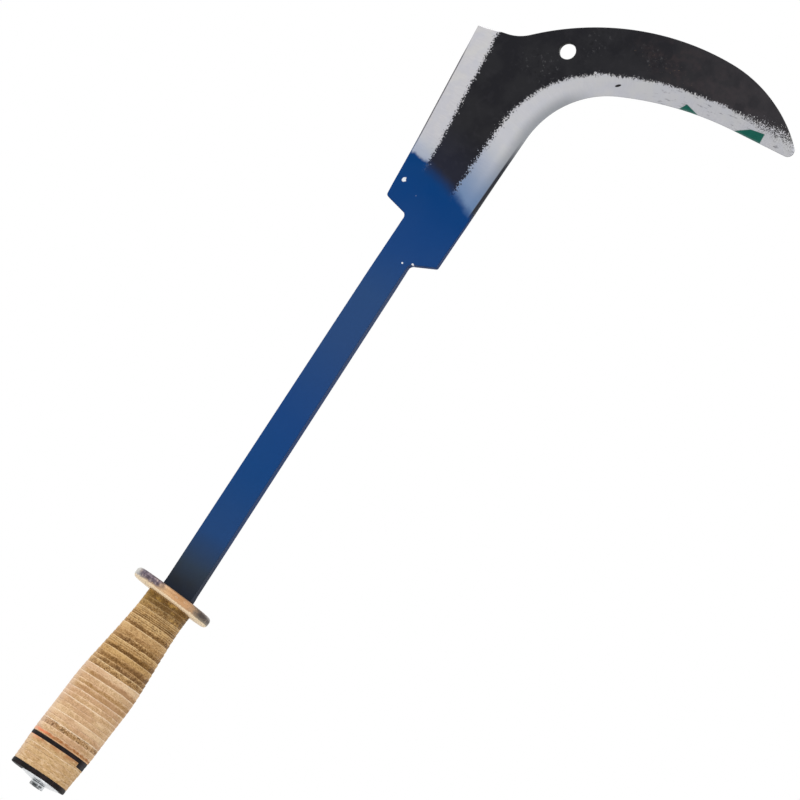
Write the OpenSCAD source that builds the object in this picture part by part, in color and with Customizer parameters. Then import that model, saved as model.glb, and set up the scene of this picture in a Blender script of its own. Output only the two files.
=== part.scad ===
// Long-shank billhook with a stacked leather grip, in millimetres.
// The tool stands upright, blade on top. The blade lies in the XZ plane, the hook points to +X,
// and the origin is the centre of the hang hole, half way through the blade.

/* [Blade] */
// Thickness of the blade between its two faces
blade_thk = 4.5; // [3.5:0.1:6]
// Diameter of the hang hole
hang_hole_d = 10; // [6:0.5:14]
// Distance of the hook's crest in front of the hang hole
crest_x = 88; // [82:1:94]
// Height of the hook's crest above the hang hole
crest_z = 42.2; // [38:0.1:46]
// Radius of the outer edge behind the crest
outer_back_r = 162; // [150:1:175]
// Radius of the outer edge between the crest and the tip
outer_tip_r = 85; // [80:1:92]
// Radius of the rounded tip
tip_r = 4; // [2:0.5:5]
// Distance of the back top corner behind the hang hole
back_x = 54.6; // [50:0.2:60]
// Distance of the back top corner below the hang hole
back_z = 13.3; // [10:0.1:16]
// Slope of the top edge behind the hang hole, in degrees
top_slope = 12.3; // [6:0.1:16]
// Radius of the hollow where the top edge meets the outer edge
top_hollow_r = 25; // [12:1:35]
// Lean of the back edge, in degrees
back_lean = 5.1; // [2:0.1:7]
// Distance of the heel corner below the hang hole
heel_z = 125.8; // [120:0.2:130]
// Radius of the heel corner
heel_r = 2; // [1:0.5:4]

/* [Cutting edge] */
// Radius of the throat, the tight inner curve
throat_r = 54.5; // [50:0.5:60]
// Distance of the throat's centre in front of the hang hole
throat_x = 62.2; // [58:0.2:66]
// Distance of the throat's centre below the hang hole
throat_z = 57.6; // [54:0.1:62]
// Angle at which the throat opens into the hook, in degrees
throat_open = 24; // [20:1:28]
// Radius of the hook's inner edge
hook_r = 206; // [190:1:225]
// Slope of the inner edge at the tip, in degrees
tip_slope = 4; // [1:0.5:6]
// Lean of the straight inner edge, in degrees
front_lean = 1.6; // [0:0.1:3]
// Thickness left at the cutting edges
edge_thk = 0.4; // [0.2:0.1:1]
// Width of the front bevels at their shank end
heel_bevel_w = 17; // [13:0.5:20]
// Width of the front bevels at the tip
tip_bevel_w = 10; // [7:0.5:13]
// Width of the back edge's bevels
back_bevel_w = 13.5; // [9:0.5:17]
// Distance below the hang hole where the front bevels begin to run out
front_full_z = 64; // [60:1:80]
// Distance below the hang hole where the back bevels begin to run out
back_full_z = 86; // [70:1:95]
// Distance below the hang hole where all bevels have run out
bevel_stop_z = 118; // [110:1:120]

/* [Shank] */
// Thickness of the shank
shank_thk = 7; // [6:0.1:9]
// Width of the shank below the blade
shank_top_w = 18.5; // [17:0.5:21]
// Width of the shank at the guard
shank_base_w = 20.1; // [18:0.1:24]
// Distance of the shank's middle behind the hang hole
shank_x = 19; // [17:0.5:21]
// Distance of the guard's upper face below the hang hole
guard_drop = 386; // [340:0.2:430]
// Distance of the front foot corner below the hang hole
foot_z = 147.3; // [143:0.1:152]
// Slope of the foot between front edge and shank, in degrees
foot_slope = 24; // [15:1:30]
// Radius of the front foot corner
foot_r = 1.5; // [1:0.5:3]
// Slope of the shoulder between heel and shank, in degrees
shoulder_slope = 13.5; // [8:0.5:20]
// Radius of the hollows where the blade meets the shank
shank_hollow_r = 3; // [1:0.5:5]
// Height over which the shank's thickness changes to the blade's
forge_taper = 45; // [25:1:60]

/* [Tang] */
// Lean of the grip towards the back, in degrees
grip_cant = 4.7; // [0:0.1:7]
// Width of the tang
tang_w = 12; // [9:0.5:14]
// Thickness of the tang
tang_thk = 5; // [4:0.5:6]
// Gap between the tang and its slots
tang_gap = 0.3; // [0.1:0.05:0.6]
// Diameter of the tang's threaded end
thread_d = 5; // [4:0.5:6]
// Distance of the thread in front of the grip's middle
thread_shift = 2.5; // [0:0.1:3]
// Gap between the thread and the nut
thread_gap = 0.05; // [0.02:0.01:0.2]
// Gap between the thread and the round holes
hole_gap = 0.3; // [0.1:0.05:0.6]
// Height of the thread that shows below the nut
thread_proud = 0.2; // [0:0.1:3]

/* [Guard] */
// Length of the guard
guard_w = 53; // [46:0.5:60]
// Depth of the guard
guard_d = 34; // [30:0.5:40]
// Thickness of the guard
guard_thk = 6.5; // [5:0.1:8]
// Radius of the guard's rounded rim
guard_rim_r = 2.4; // [1:0.1:2.4]
// Squareness of the guard's oval, 2 is an ellipse
guard_square = 2.2; // [2:0.1:3]
// Distance of the guard's middle behind the tang's middle
guard_back = 1.5; // [0:0.1:2]

/* [Grip] */
// Number of leather washers above the spacer
upper_washers = 31; // [20:1:35]
// Number of leather washers below the spacer
lower_washers = 5; // [3:1:8]
// Mean thickness of a leather washer
leather_thk = 3.36; // [3:0.01:4]
// Most that a leather washer's thickness differs from the mean
leather_spread = 0.5; // [0:0.1:0.8]
// Thickness of the black spacer
spacer_thk = 2.5; // [1.5:0.1:4]
// Length of the lip that the spacer turns down at its front end
spacer_lip = 1.5; // [1:0.5:8]
// Drop of that lip below the spacer
lip_drop = 2.9; // [1.5:0.1:3.5]
// Width of the grip at its neck, below the guard
neck_w = 28.4; // [26:0.2:32]
// Depth of the grip at its neck
neck_d = 23; // [20:0.5:26]
// Width of the grip at its belly
belly_w = 37.4; // [34:0.2:42]
// Depth of the grip at its belly
belly_d = 28; // [25:0.5:31]
// Width of the grip at its butt
butt_w = 35.8; // [33:0.2:41]
// Depth of the grip at its butt
butt_d = 27; // [24:0.5:30]
// Distance below the guard where the neck begins to widen
neck_len = 5; // [0:1:15]
// Distance below the guard where the belly is reached
belly_start = 70; // [55:1:80]
// Distance below the guard where the belly begins to narrow
belly_end = 98; // [85:1:105]
// Squareness of the grip's oval, 2 is an ellipse
grip_square = 2.5; // [2:0.1:3]
// Distance of the grip's neck behind the tang's middle
neck_back = 0.7; // [0:0.1:1.5]
// Angle by which the washers lie flatter than the guard, in degrees
washer_lean = 3.2; // [0:0.1:5]

/* [Butt] */
// Thickness of the black butt washer
butt_thk = 3; // [2:0.1:5]
// Diameter of the domed end plate
plate_d = 25; // [20:0.5:26]
// Thickness of the end plate's rim
plate_rim = 0.6; // [0.4:0.1:1.5]
// Rise of the end plate's dome
plate_rise = 1.8; // [0.5:0.1:2]
// Width of the nut across its flats
nut_flats = 8; // [8:0.5:11]
// Height of the nut
nut_h = 2.7; // [2.5:0.1:5]
// Width of the nut's chamfer ring below its corners
nut_chamfer = 0.5; // [0.3:0.1:1]

/* [Hidden] */
$fn = 64;
// Steps of an arc in an outline, of a corner and of an oval
arc_steps = 24;
corner_steps = 6;
oval_steps = 48;
// Room that a cutter reaches past the faces it cuts
over = 1;
// Turn between one washer and the next in the thickness pattern
washer_turn = 137.5;
// Distance that the tang reaches up into the shank
tang_root = 12;
// Distance that the flat tang stops above the butt washer
tang_stop = 1.5;
// Height by which a bevel's cutter clears the face where the bevel has run out
bevel_lift = 0.3;
// Steps of the guard's rounded rim
rim_steps = 4;
// Angle of the nut's chamfer against its end face, in degrees
chamfer_a = 30;
// Colours of the leather washers, in turn
leather_colours = ["peru", "burlywood", "tan"];

washer_count = upper_washers + lower_washers;
WASHERS = [for (i = [1 : washer_count]) str("leather_washer_", i < 10 ? "0" : "", i)];

// Directions, arcs and corners
function dir(a) = [cos(a), sin(a)];
function unit(v) = v / norm(v);
function arc(c, r, a0, a1, steps = arc_steps) = [for (i = [0 : steps]) c + r * dir(a0 + (a1 - a0) * i / steps)];
function angle_of(v) = atan2(v.y, v.x);
function turn(a0, a1) = (a1 - a0 + 540) % 360 - 180;
function corner(a, b, c, r) =
    let (u = unit(a - b),
         v = unit(c - b),
         half = acos(u * v) / 2,
         centre = b + unit(u + v) * r / sin(half),
         a0 = angle_of(b + u * r / tan(half) - centre),
         a1 = angle_of(b + v * r / tan(half) - centre))
    arc(centre, r, a0, a0 + turn(a0, a1), corner_steps);
// Distances along a line from p at angle a where it is r away from centre c
function reach(p, a, c, r) =
    let (b = (p - c) * dir(a),
         k = sqrt(b * b - (p - c) * (p - c) + r * r))
    [-b - k, -b + k];

// Outer edge of the blade, seen from the front
crest = [crest_x, crest_z];
outer_back_c = crest - [0, outer_back_r];
outer_tip_c = crest - [0, outer_tip_r];
back_top = [-back_x, -back_z];
hollow_from = back_top + top_hollow_r * dir(top_slope + 90);
hollow_reach = reach(hollow_from, top_slope, outer_back_c, outer_back_r + top_hollow_r);
hollow_c = hollow_from + hollow_reach[0] * dir(top_slope);
hollow_end = angle_of(outer_back_c - hollow_c);

// Cutting edge, from the straight front to the tip
throat_c = [throat_x, -throat_z];
front_a = 180 - front_lean;
open_a = 90 + throat_open;
tip_a = 90 + tip_slope;
hook_c = throat_c + (throat_r - hook_r) * dir(open_a);
front_top = throat_c + throat_r * dir(front_a);
hook_end = hook_c + hook_r * dir(tip_a);
tip_from = hook_end + tip_r * dir(tip_a);
tip_reach = reach(tip_from, tip_slope, outer_tip_c, outer_tip_r - tip_r);
tip_c = tip_from + tip_reach[1] * dir(tip_slope);
tip_out = angle_of(tip_c - outer_tip_c);

// Corners where the blade meets the shank, and the shank's foot on the guard
function front_at(z) = [front_top.x + (z - front_top.y) * tan(front_lean), z];
function back_at(z) = [back_top.x + (back_top.y - z) * tan(back_lean), z];
function shank_at(side, w) = -shank_x + side * w / 2;
heel = back_at(-heel_z);
foot = front_at(-foot_z);
shoulder = [shank_at(-1, shank_top_w), heel.y - (shank_at(-1, shank_top_w) - heel.x) * tan(shoulder_slope)];
crotch = [shank_at(1, shank_top_w), foot.y - (foot.x - shank_at(1, shank_top_w)) * tan(foot_slope)];
function base_at(side) =
    [shank_at(side, shank_base_w), -guard_drop - side * shank_base_w / 2 * tan(grip_cant)];

blade_outline = concat(
    [back_top],
    arc(hollow_c, top_hollow_r, top_slope - 90, hollow_end),
    arc(outer_back_c, outer_back_r, hollow_end + 180, 90),
    arc(outer_tip_c, outer_tip_r, 90, tip_out),
    arc(tip_c, tip_r, tip_out, tip_slope - 90, corner_steps),
    arc(hook_c, hook_r, tip_a, open_a),
    arc(throat_c, throat_r, open_a, front_a),
    corner(front_top, foot, crotch, foot_r),
    corner(foot, crotch, base_at(1), shank_hollow_r),
    [base_at(1), base_at(-1)],
    corner(base_at(-1), shoulder, heel, shank_hollow_r),
    corner(shoulder, heel, back_top, heel_r)
);

// Half thickness along the forging: thin blade, then the taper, then the thick shank
taper_top = -foot_z + forge_taper / 2;
taper_base = taper_top - forge_taper;
side_profile = [
    [crest_z + over, blade_thk / 2],
    [taper_top, blade_thk / 2],
    [taper_base, shank_thk / 2],
    [-guard_drop - shank_base_w, shank_thk / 2]
];

// Ground bevels: stations along an edge, each with its point, the angle into the blade, the bevel's width,
// its depth at the edge and the height by which the cutter is lifted off the face
bevel_depth = (blade_thk - edge_thk) / 2;
function front_w(a) = tip_bevel_w + (heel_bevel_w - tip_bevel_w) * (a - tip_a) / (front_a - tip_a);
front_stations = concat(
    [[front_at(-bevel_stop_z), front_a, heel_bevel_w, 0, bevel_lift],
     [front_at(-front_full_z), front_a, heel_bevel_w, bevel_depth, 0]],
    [for (i = [0 : arc_steps])
        let (a = front_a + (open_a - front_a) * i / arc_steps)
        [throat_c + throat_r * dir(a), a, front_w(a), bevel_depth, 0]],
    [for (i = [1 : arc_steps])
        let (a = open_a + (tip_a - open_a) * i / arc_steps)
        [hook_c + hook_r * dir(a), a, front_w(a), bevel_depth, 0]],
    [[hook_end + (tip_c.x - hook_end.x + tip_bevel_w) * dir(tip_slope), tip_a, tip_bevel_w, bevel_depth, 0]]
);
back_stations = [
    [back_at(-back_z + back_bevel_w), back_lean, back_bevel_w, bevel_depth, 0],
    [back_at(-back_full_z), back_lean, back_bevel_w, bevel_depth, 0],
    [back_at(-bevel_stop_z), back_lean, back_bevel_w, 0, bevel_lift]
];
// Section of the cut at a station: past the edge, past the bevel's inner line, and above the edge
function bevel_ring(station) =
    let (p = station[0],
         into = station[1],
         slope = station[3] / station[2],
         face = blade_thk / 2 + station[4],
         out = p - over * dir(into),
         inner = p + (station[2] + over) * dir(into))
    [[out.x, out.y, face - station[3] - over * slope],
     [inner.x, inner.y, face + over * slope],
     [out.x, out.y, face + 2 * over]];

// Grip stack, measured down the tang from the guard's upper face
function washer_thk(i) = leather_thk + leather_spread * sin(washer_turn * i);
function stack(n) = n < 1 ? 0 : washer_thk(n) + stack(n - 1);
spacer_top = guard_thk + stack(upper_washers);
function washer_top(i) = guard_thk + stack(i - 1) + (i > upper_washers ? spacer_thk : 0);
butt_top = guard_thk + stack(washer_count) + spacer_thk;
plate_top = butt_top + butt_thk;
nut_top = plate_top + plate_rim + plate_rise;
thread_end = nut_top + nut_h + thread_proud;

// Width and depth of the grip at a distance below the guard's upper face
function ease(t) = (1 - cos(180 * min(1, max(0, t)))) / 2;
function swell(d, neck, belly, butt) =
    neck + (belly - neck) * ease((d - guard_thk - neck_len) / (belly_start - neck_len))
    - (belly - butt) * ease((d - guard_thk - belly_end) / (plate_top - guard_thk - belly_end));
function grip_w(d) = swell(d, neck_w, belly_w, butt_w);
function grip_d(d) = swell(d, neck_d, belly_d, butt_d);
function grip_x(d) = -neck_back * (1 - ease((d - guard_thk) / belly_start));

// Points of a squared oval
function squared(v, n) = sign(v) * pow(abs(v), 2 / n);
function oval(w, d, n) =
    [for (i = [0 : oval_steps - 1])
        let (a = 360 * i / oval_steps)
        [w / 2 * squared(cos(a), n), d / 2 * squared(sin(a), n)]];

// Puts what is drawn downwards from the guard's upper face onto the leaning tang
module on_tang(d = 0) {
    translate([-shank_x, 0, -guard_drop])
        rotate([0, grip_cant, 0])
            translate([0, 0, -d])
                children();
}

// Turns what is drawn square to the tang into the lean of the washers
module leaning() {
    rotate([0, -washer_lean, 0])
        children();
}

// The same as on_tang for what sits on the threaded end, which stands square on the leaning end plate
module on_thread(d) {
    on_tang(plate_top)
        translate([thread_shift, 0, thread_shift * tan(washer_lean)])
            leaning()
                translate([0, 0, plate_top - d])
                    children();
}

// A closed skin over rings of points, one ring after the other
module loft(rings) {
    n = len(rings[0]);
    last = n * (len(rings) - 1);
    polyhedron(
        [for (ring = rings) each ring],
        concat(
            [[for (i = [0 : n - 1]) i]],
            [for (j = [0 : n : last - n], i = [0 : n - 1])
                let (k = (i + 1) % n)
                each [[j + i, j + n + i, j + n + k], [j + i, j + n + k, j + k]]],
            [[for (i = [n - 1 : -1 : 0]) last + i]]
        )
    );
}

// The grinding along one edge of one face, with the blade laid flat
module bevel_cut(stations) {
    loft([for (s = stations) bevel_ring(s)]);
}

module forging() {
    last = len(side_profile) - 1;
    far_side = [for (i = [last : -1 : 0]) [side_profile[i].x, -side_profile[i].y]];
    intersection() {
        linear_extrude(shank_thk + blade_thk, center = true)
            polygon(blade_outline);
        rotate([90, 0, 90])
            linear_extrude(2 * (crest_x + outer_tip_r), center = true)
                polygon(concat(side_profile, far_side));
    }
}

module tang() {
    flat_end = butt_top - tang_stop;
    on_tang(flat_end)
        translate([-tang_w / 2, -tang_thk / 2, 0])
            cube([tang_w, tang_thk, flat_end + tang_root]);
    on_thread(thread_end)
        cylinder(d = thread_d, h = thread_end - flat_end + tang_stop);
}

module blade() {
    color("midnightblue") {
        rotate([90, 0, 0])
            difference() {
                forging();
                for (side = [0, 1])
                    mirror([0, 0, side]) {
                        bevel_cut(front_stations);
                        bevel_cut(back_stations);
                    }
                cylinder(d = hang_hole_d, h = blade_thk + 2 * over, center = true);
            }
        tang();
    }
}

// Slot through a piece for the flat tang
module tang_slot(thk) {
    translate([0, 0, -thk / 2])
        cube([tang_w + 2 * tang_gap, tang_thk + 2 * tang_gap, thk + 2 * over], center = true);
}

// Ring of the guard's rounded rim at an angle from its face, at the height of that face and on its inner side
function guard_ring(a, face, side) =
    let (inset = guard_rim_r * (1 - sin(a)))
    [for (p = oval(guard_w - 2 * inset, guard_d - 2 * inset, guard_square))
        [p.x - guard_back, p.y, face + side * guard_rim_r * (1 - cos(a))]];

module guard() {
    color("silver")
        on_tang()
            difference() {
                loft(concat(
                    [for (i = [0 : rim_steps]) guard_ring(90 * i / rim_steps, -guard_thk, 1)],
                    [for (i = [rim_steps : -1 : 0]) guard_ring(90 * i / rim_steps, 0, -1)]
                ));
                tang_slot(guard_thk);
            }
}

// The leaning slice of the grip between two depths; the one below the guard is a wedge with a square upper face
module grip_slice(top, thk, d) {
    reach = grip_w(d);
    room = reach * tan(washer_lean);
    wedge = top == guard_thk;
    h = thk * cos(washer_lean);
    on_tang(top)
        intersection() {
            translate([grip_x(d), 0, -thk - room])
                linear_extrude(thk + (wedge ? room : 2 * room))
                    polygon(oval(grip_w(d), grip_d(d), grip_square));
            leaning()
                translate([-reach, -reach, -h])
                    cube([2 * reach, 2 * reach, wedge ? h + room : h]);
        }
}

// A washer of the grip's outline at its own place, with a slot for the tang
module grip_washer(top, thk) {
    difference() {
        grip_slice(top, thk, top + thk / 2);
        on_tang(top)
            tang_slot(thk);
    }
}

// Room of the spacer's lip in the washer below it
lip_washer = upper_washers + 1;
module lip_room() {
    thk = washer_thk(lip_washer);
    front = grip_w(spacer_top + spacer_thk + thk / 2) / 2;
    on_tang(spacer_top + spacer_thk)
        leaning()
            translate([front - spacer_lip, -grip_d(spacer_top) / 2 - over, -lip_drop])
                cube([spacer_lip + over, grip_d(spacer_top) + 2 * over, lip_drop + over]);
}

module leather_washer(i) {
    color(leather_colours[i % len(leather_colours)])
        difference() {
            grip_washer(washer_top(i), washer_thk(i));
            if (i == lip_washer)
                lip_room();
        }
}

module fibre_spacer() {
    lip_thk = washer_thk(lip_washer);
    color("black") {
        grip_washer(spacer_top, spacer_thk);
        intersection() {
            grip_slice(spacer_top, spacer_thk + lip_thk, washer_top(lip_washer) + lip_thk / 2);
            lip_room();
        }
    }
}

module thread_hole(thk) {
    translate([0, 0, -thk - over])
        cylinder(d = thread_d + 2 * hole_gap, h = thk + 2 * over);
}

module butt_washer() {
    color("black")
        difference() {
            grip_slice(butt_top, butt_thk, plate_top);
            on_thread(butt_top)
                thread_hole(butt_thk);
        }
}

module end_plate() {
    thk = plate_rim + plate_rise;
    rim = plate_d / 2;
    hole = thread_d / 2 + hole_gap;
    dome_r = (rim * rim + plate_rise * plate_rise) / (2 * plate_rise);
    rim_a = asin(rim / dome_r) - 90;
    hole_a = asin(hole / dome_r) - 90;
    color("gainsboro")
        on_thread(plate_top)
            rotate_extrude()
                polygon(concat(
                    [[hole, 0], [rim, 0]],
                    arc([0, dome_r - thk], dome_r, rim_a, hole_a, corner_steps)
                ));
}

module hex_nut() {
    corners = nut_flats / cos(30);
    end_d = corners - 2 * nut_chamfer;
    color("gainsboro")
        on_thread(nut_top + nut_h)
            difference() {
                intersection() {
                    cylinder(d = corners, h = nut_h, $fn = 6);
                    cylinder(d1 = end_d, d2 = end_d + 2 * nut_h / tan(chamfer_a), h = nut_h);
                }
                translate([0, 0, -over])
                    cylinder(d = thread_d + 2 * thread_gap, h = nut_h + 2 * over);
            }
}

blade();
guard();
for (i = [1 : washer_count])
    leather_washer(i);
fibre_spacer();
butt_washer();
end_plate();
hex_nut();
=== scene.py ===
# Long-shank billhook: forged blade with ground edges, painted shank, guard and stacked leather grip.
# Sizes are in millimetres, in the frame's own axes: the origin is the hang hole, the blade stands in XZ.
import functools
import math

import bmesh
import bpy
import numpy as np
from mathutils import Matrix, Vector, noise
from mathutils.geometry import delaunay_2d_cdt


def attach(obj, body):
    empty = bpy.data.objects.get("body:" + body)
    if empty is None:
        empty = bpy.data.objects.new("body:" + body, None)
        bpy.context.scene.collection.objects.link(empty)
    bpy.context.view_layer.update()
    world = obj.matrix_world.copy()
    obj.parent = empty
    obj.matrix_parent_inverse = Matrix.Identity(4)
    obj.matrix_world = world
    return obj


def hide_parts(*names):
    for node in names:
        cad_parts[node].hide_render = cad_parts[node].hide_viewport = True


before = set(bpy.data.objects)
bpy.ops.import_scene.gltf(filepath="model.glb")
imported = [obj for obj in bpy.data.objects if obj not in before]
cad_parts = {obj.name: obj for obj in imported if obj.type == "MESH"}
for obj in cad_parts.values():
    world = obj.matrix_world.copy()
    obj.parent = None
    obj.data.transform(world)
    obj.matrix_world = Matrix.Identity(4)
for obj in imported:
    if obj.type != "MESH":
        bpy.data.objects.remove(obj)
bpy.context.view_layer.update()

MM = 0.001

# Blade
BLADE_THK = 4.5
HANG_HOLE_R = 5.0
CREST = np.array([88.0, 42.2])
OUTER_BACK_R = 162.0
OUTER_TIP_R = 85.0
TIP_R = 4.0
BACK_TOP = np.array([-54.6, -13.3])
TOP_SLOPE = 12.3
TOP_HOLLOW_R = 25.0
BACK_LEAN = 5.1
HEEL_Z = -125.8
HEEL_R = 2.0

# Cutting edge
THROAT_R = 54.5
THROAT_C = np.array([62.2, -57.6])
THROAT_OPEN = 24.0
HOOK_R = 206.0
TIP_SLOPE = 4.0
FRONT_LEAN = 1.6
EDGE_THK = 0.4
HEEL_BEVEL_W = 17.0
TIP_BEVEL_W = 10.0
BACK_BEVEL_W = 13.5
FRONT_FULL_Z = -64.0
BACK_FULL_Z = -86.0
BEVEL_STOP_Z = -118.0

# Shank
SHANK_THK = 7.0
SHANK_TOP_W = 18.5
SHANK_BASE_W = 20.1
SHANK_X = -19.0
GUARD_DROP = 386.0
FOOT_Z = -147.3
FOOT_SLOPE = 24.0
FOOT_R = 1.5
SHOULDER_SLOPE = 13.5
SHANK_HOLLOW_R = 3.0
FORGE_TAPER = 45.0

# Tang and thread
GRIP_CANT = 4.7
TANG_W = 12.0
TANG_THK = 5.0
TANG_GAP = 0.3
TANG_STOP = 1.5
THREAD_D = 5.0
THREAD_PITCH = 0.8
THREAD_DEPTH = 0.4
THREAD_SHIFT = 2.5
THREAD_PROUD = 0.2
HOLE_GAP = 0.3

# Guard
GUARD_W = 53.0
GUARD_D = 34.0
GUARD_THK = 6.5
GUARD_RIM_R = 2.4
GUARD_SQUARE = 2.2
GUARD_BACK = 1.5

# Grip
UPPER_WASHERS = 31
LOWER_WASHERS = 5
LEATHER_THK = 3.36
LEATHER_SPREAD = 0.5
WASHER_TURN = 137.5
SPACER_THK = 2.5
SPACER_LIP = 1.5
LIP_DROP = 2.9
NECK = (28.4, 23.0)
BELLY = (37.4, 28.0)
BUTT = (35.8, 27.0)
NECK_LEN = 5.0
BELLY_START = 70.0
BELLY_END = 98.0
GRIP_SQUARE = 2.5
SLOT_SQUARE = 12.0
NECK_BACK = 0.7
WASHER_LEAN = 3.2
WASHER_UNEVEN = 0.14
SEAM_WAVES = (0.16, 0.1)
LIP_ROOM = 0.05

# Washers of the brown half, and those that stand out by their tone, grain, upper joint or thin layers
BROWN_WASHERS = 16
DARK_WASHERS = (1, 2, 5, 7, 10, 12, 14, 15, 18, 20, 21, 29)
LIGHT_WASHERS = (8, 13, 17, 27)
COARSE_WASHERS = (3, 6, 7, 10, 12, 15, 16, 29)
PALE_JOINTS = (4, 6, 8, 11, 13, 16, 17, 19, 22, 24, 27, 29, 33)
LAYERED_WASHERS = (4, 5, 6, 11)

# Butt
BUTT_THK = 3.0
PLATE_D = 25.0
PLATE_RIM = 0.6
PLATE_RISE = 1.8
NUT_FLATS = 8.0
NUT_H = 2.7
NUT_CHAMFER = 0.5
CHAMFER_A = 30.0

# Edge of the blue paint across the blade's foot
PAINT_BACK = np.array([-46.0, -96.8])
PAINT_FRONT = np.array([6.8, -112.1])
PAINT_BOW = 2.2
# Length over which the paint's tone runs, from the guard up
PAINT_RUN = 290.0

# Marks on the blade's face: the middle in X and Z, and how far the mark reaches from it
RUST_BLOOM = ((76, 25), (52, 18))
PALE_FLECKS = ((52, 20), (26, 8))
SCUFFS = (((-10, -16), (17, 12)), ((12, 12), (9, 14)), ((44, 22), (14, 7)))
NICK = (37.1, -2.3)
NICK_REACH = (1.5, 0.9)
NICK_SLOPE = 0.7
# Green scraps: start, peak and end of the two upper sides, and the X at which the scrap stops
GREEN_SCRAPS = (((74.2, 2.6), (78.1, 8.9), (87.6, 6.6), 87.4),
                ((109.6, 9.2), (118.6, 15.2), (129.2, 17.2), 127.4))
# Chips in the paint, the second and the fourth being painted highlight at the ricasso's foot: middle, radius
# and strength
PAINT_CHIPS_AND_HIGHLIGHT = (((-40.2, -113.1), 1.35, 1.0), ((-13.4, -155.1), 0.55, 1.0),
               ((-29.0, -117.5), 0.4, 0.3), ((-7.6, -152.9), 0.6, 1.0))

# Stretches of the blade over which a finish comes in, from none to full: along X, along Z or from the edge
HOOK_SHEEN_X = (20, 120)
CRUMBLED_TIP_X = (100, 138)
FLAWS_X = (46, 74)
SPECKS_Z = (-28, -60)
SHADED_SIDE_Z = (-30, -60)
ROLLED_SHADE_X = (44, 18)
ROLLED_SHADE_Z = (-7, -30)
ROLLED_SHADE_GAP = (9, 0.5)
BACK_EDGE_SHADE_Z = (-22, -36)
FRONT_EDGE_SHADE_Z = (-54, -80)
FRONT_EDGE_SHADE_GAP = (2.0, 1.2)

# The same on the guard, the leather and the butt; a pair of stretches is where the mark starts and ends
GUARD_SHADE_X = ((-24, -19), (1, -6))
GUARD_SHADE_Z = (-6.0, -3.8)
GUARD_REFLECTION_X = ((-5, 3), (17, 11))
GUARD_REFLECTION_Z = (-4.2, -2.0)
GUARD_TIP_SHADE_X = (18, 23)
GUARD_TIP_SHADE_Z = (-4.6, -3.0)
GUARD_SHADOW_X = (-20, -12)
GUARD_SHADOW_Z = (-0.7, -0.2)
GUARD_HIGHLIGHT_Z = (-4.6, -5.4)
LEATHER_SHADE_FROM_BACK_X = (-17, -5)
LEATHER_BACK_LIGHT_X = (-11, -18)
NECK_SHADOW_Z = (-24, -11)
DYE_TURN_X = (-10, -2)
PLATE_SHADE_R = (6.4, 4.6)
NUT_REFLECTION_Z = (-0.7, -1.3)
NUT_RECESS_SHADE_R = (3.3, 3.0)
THREAD_TIP_R = (2.3, 1.9)

# Mesh detail of the forging
OUTLINE_STEP = 1.2
STRAIGHT_STEP = OUTLINE_STEP * 1.5
FRONT_ROWS = 60
TIP_ROWS = 12
BACK_ROWS = 76
HOLE_STEPS = 96
HOLE_COLLAR = 1.6
SKIN_ROOM = 0.5
SKIN_STEP = 2.2
EDGE_ROUND = 0.6
ROUND_RINGS = (0.1, 0.3, 0.6)
CREASE_ROWS = (0.3, 0.6)
CREASE_SOFT = 0.7
FORGE_DENT = 0.07
DENT_SIZES = (16, 5)
GRIND_DAB = 0.05
DAB_SIZE = 6
FACE_SEEDS = (3.7, 41.3)
SIDE_GAP = 0.05
# Keeps the grain of the back edge apart from that of the cutting edge
BACK_RUN_START = 500
# Stands for off the back bevel, below the heel
OFF_BACK = -20

# Mesh detail of the grip: a rim lists shares of the height, or drops in millimetres, with the inset there
OVAL_STEPS = 120
AROUND = [2 * math.pi * i / OVAL_STEPS for i in range(OVAL_STEPS)]
GUARD_STEPS = 8
GUARD_DENT = 0.12
GUARD_DENT_SIZE = (9, 9, 5)
WASHER_RIM = ((0, 0.22), (0.05, 0.08), (0.14, 0.02), (0.3, 0.0), (0.5, 0.0),
              (0.7, 0.0), (0.86, 0.02), (0.95, 0.08), (1, 0.22))
SPACER_RIM = ((0, 0.2), (0.1, 0.06), (0.3, 0), (0.7, 0), (0.9, 0.06), (1, 0.2))
BUTT_RIM = ((0, 0.25), (0.1, 0.08), (0.25, 0), (0.75, 0), (0.9, 0.1), (1, 0.35))
LIP_RIM = ((-0.4, 0.15), (0.3, 0.0), (LIP_DROP - 0.3, 0.0), (LIP_DROP - LIP_ROOM, 0.15))
PLATE_EDGE = ((0, 0.1), (0.1, 0), (PLATE_RIM - 0.15, 0), (PLATE_RIM + 0.02, 0.12))
DOME_STEPS = 14
NUT_EDGES = (0.1, 0.08)
NUT_BORE_GAP = 0.05
NUT_LEAD_IN = 0.35
NUT_FACE = 0.7
TANG_CHAMFER = 0.4
TANG_SINK = 0.05
THREAD_ROWS = 80
THREAD_ROOT = 0.5
THREAD_LEAD = (0.3, 0.25)

# Studio, in metres
TOOL_MIDDLE = Vector((0.03, 0, -0.22))
FLOOR_Z = -1.45
FLOOR_SIZE = 30
SKY_LEVEL = 0.47
SOFTBOX_SIZE = 2.4


# Plane geometry of the blade's outline

def dir_of(angle):
    """The unit vector at an angle in degrees."""
    return np.array([math.cos(math.radians(angle)), math.sin(math.radians(angle))])


def angle_of(v):
    return math.degrees(math.atan2(v[1], v[0]))


def arc(centre, r, start, end):
    steps = max(4, math.ceil(abs(math.radians(end - start)) * r / OUTLINE_STEP))
    return [centre + r * dir_of(start + (end - start) * i / steps) for i in range(steps + 1)]


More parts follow.
